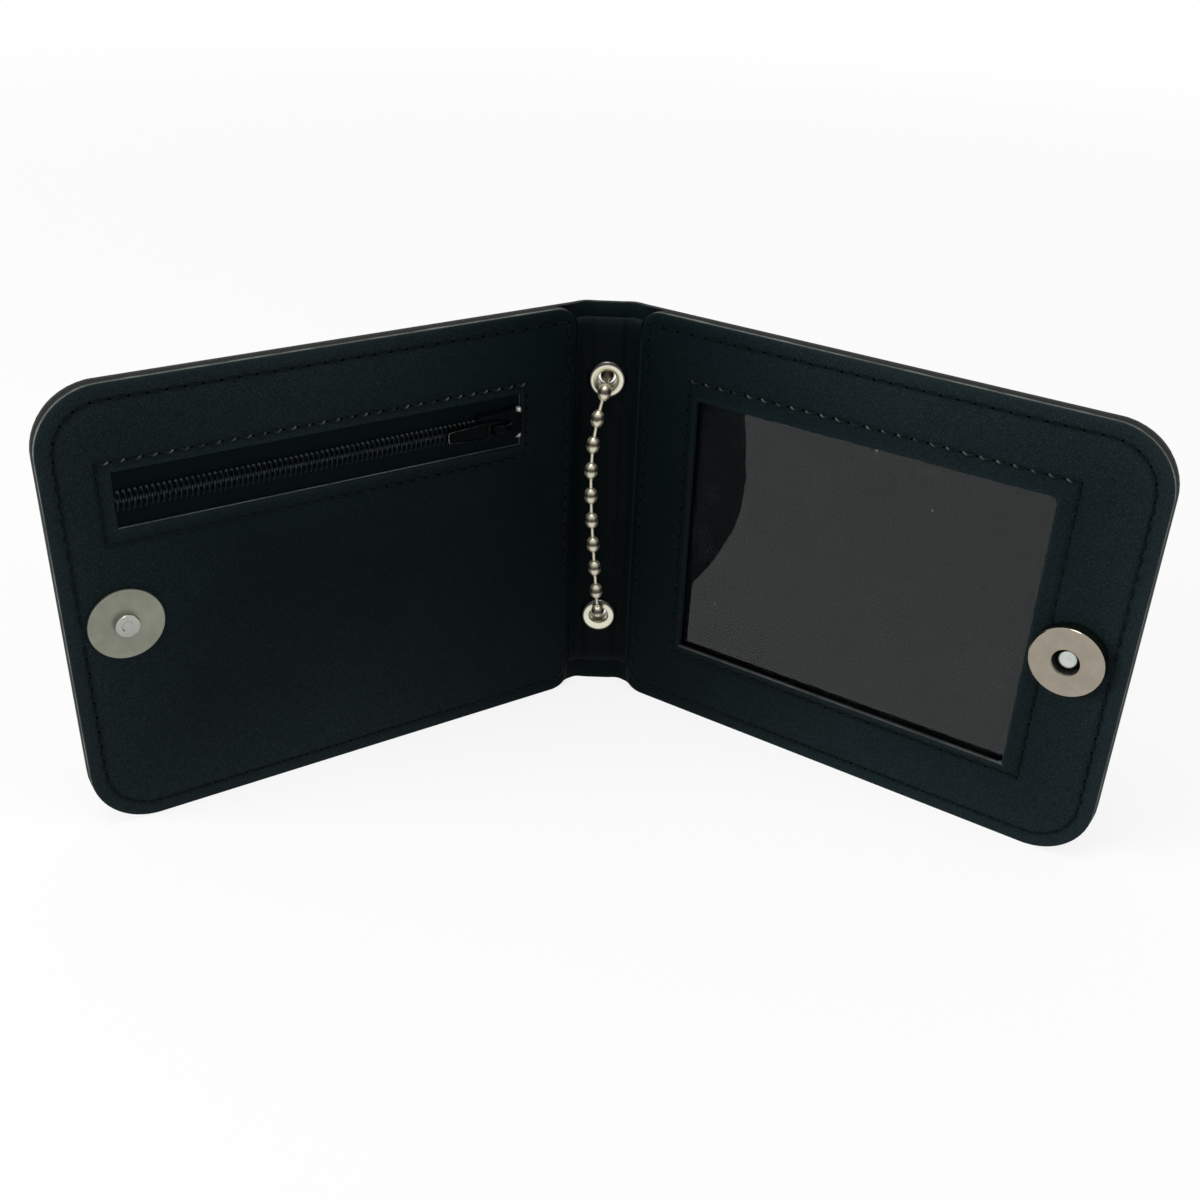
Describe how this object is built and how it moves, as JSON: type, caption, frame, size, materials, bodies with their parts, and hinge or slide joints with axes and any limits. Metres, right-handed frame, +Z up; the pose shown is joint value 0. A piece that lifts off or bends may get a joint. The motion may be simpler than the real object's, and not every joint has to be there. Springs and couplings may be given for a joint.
{
  "type": "id badge wallet",
  "caption": "Folding black leather wallet for an identity card, with a clear card window, a zipped coin pocket, a magnetic snap and a ball neck chain through eyelets in its spine.",
  "frame": {"origin": "middle of the bottom of the open wallet's box, without the neck chain", "axes": "+X to the right as the open inside is seen, +Y towards the spine, +Z up along the spine"},
  "size_m": [0.1932, 0.1299, 0.0889],
  "materials": {
    "leather": "black fine-grained, satin",
    "spine_lining": "black, matt",
    "lining": "black woven lining",
    "zip_tape": "black woven tape",
    "zip_coil": "black nylon",
    "slider_metal": "black enamel",
    "clear_vinyl": "clear glossy vinyl",
    "snap_stud": "satin nickel",
    "snap_socket": "polished nickel",
    "magnet": "dark ferrite",
    "backing_steel": "plain steel",
    "nickel": "polished nickel",
    "chain_nickel": "polished nickel"
  },
  "bodies": {
    "spine": {"spine_outer_leather": "leather", "spine_liner": "spine_lining", "upper_eyelet": "nickel", "lower_eyelet": "nickel", "upper_eyelet_washer": "nickel", "lower_eyelet_washer": "nickel", "chain_span_beads": "chain_nickel", "chain_span_links": "chain_nickel", "chain_upper_run": "chain_nickel", "chain_coil": "chain_nickel", "chain_clasp": "chain_nickel", "chain_lower_run": "chain_nickel"},
    "left_cover": {"left_outer_leather": "leather", "coin_pocket_lining": "lining", "zip_panel": "leather", "zip_tape_upper": "zip_tape", "zip_tape_lower": "zip_tape", "zip_coil_upper": "zip_coil", "zip_coil_lower": "zip_coil", "stud_plate": "snap_stud", "stud_tip": "snap_stud", "stud_backing": "backing_steel"},
    "right_cover": {"right_outer_leather": "leather", "card_pocket_lining": "lining", "window_frame": "leather", "window_vinyl": "clear_vinyl", "socket_case": "snap_socket", "socket_magnet": "magnet", "socket_post": "snap_socket", "socket_backing": "backing_steel"},
    "zip_slider": {"zip_slider": "slider_metal"},
    "zip_pull": {"zip_pull": "slider_metal"}
  },
  "joints": [
    {"name": "left_cover_fold", "type": "hinge", "parent": "spine", "child": "left_cover", "pos_m": [-0.00505, 0.03035, 0.04445], "axis": [0, 0, 1], "range_deg": [-33.2, 56.8], "deforming": ["chain_span_beads", "chain_span_links"]},
    {"name": "right_cover_fold", "type": "hinge", "parent": "spine", "child": "right_cover", "pos_m": [0.00505, 0.03035, 0.04445], "axis": [0, 0, -1], "range_deg": [-33.2, 56.8]},
    {"name": "zip_slide", "type": "slide", "parent": "left_cover", "child": "zip_slider", "axis": [-0.8368, -0.5476, 0], "range_m": [0, 0.0703]},
    {"name": "zip_pull_flip", "type": "hinge", "parent": "zip_slider", "child": "zip_pull", "pos_m": [-0.02052, 0.01455, 0.0673], "axis": [0, 0, 1], "range_deg": [0, 178]}
  ]
}
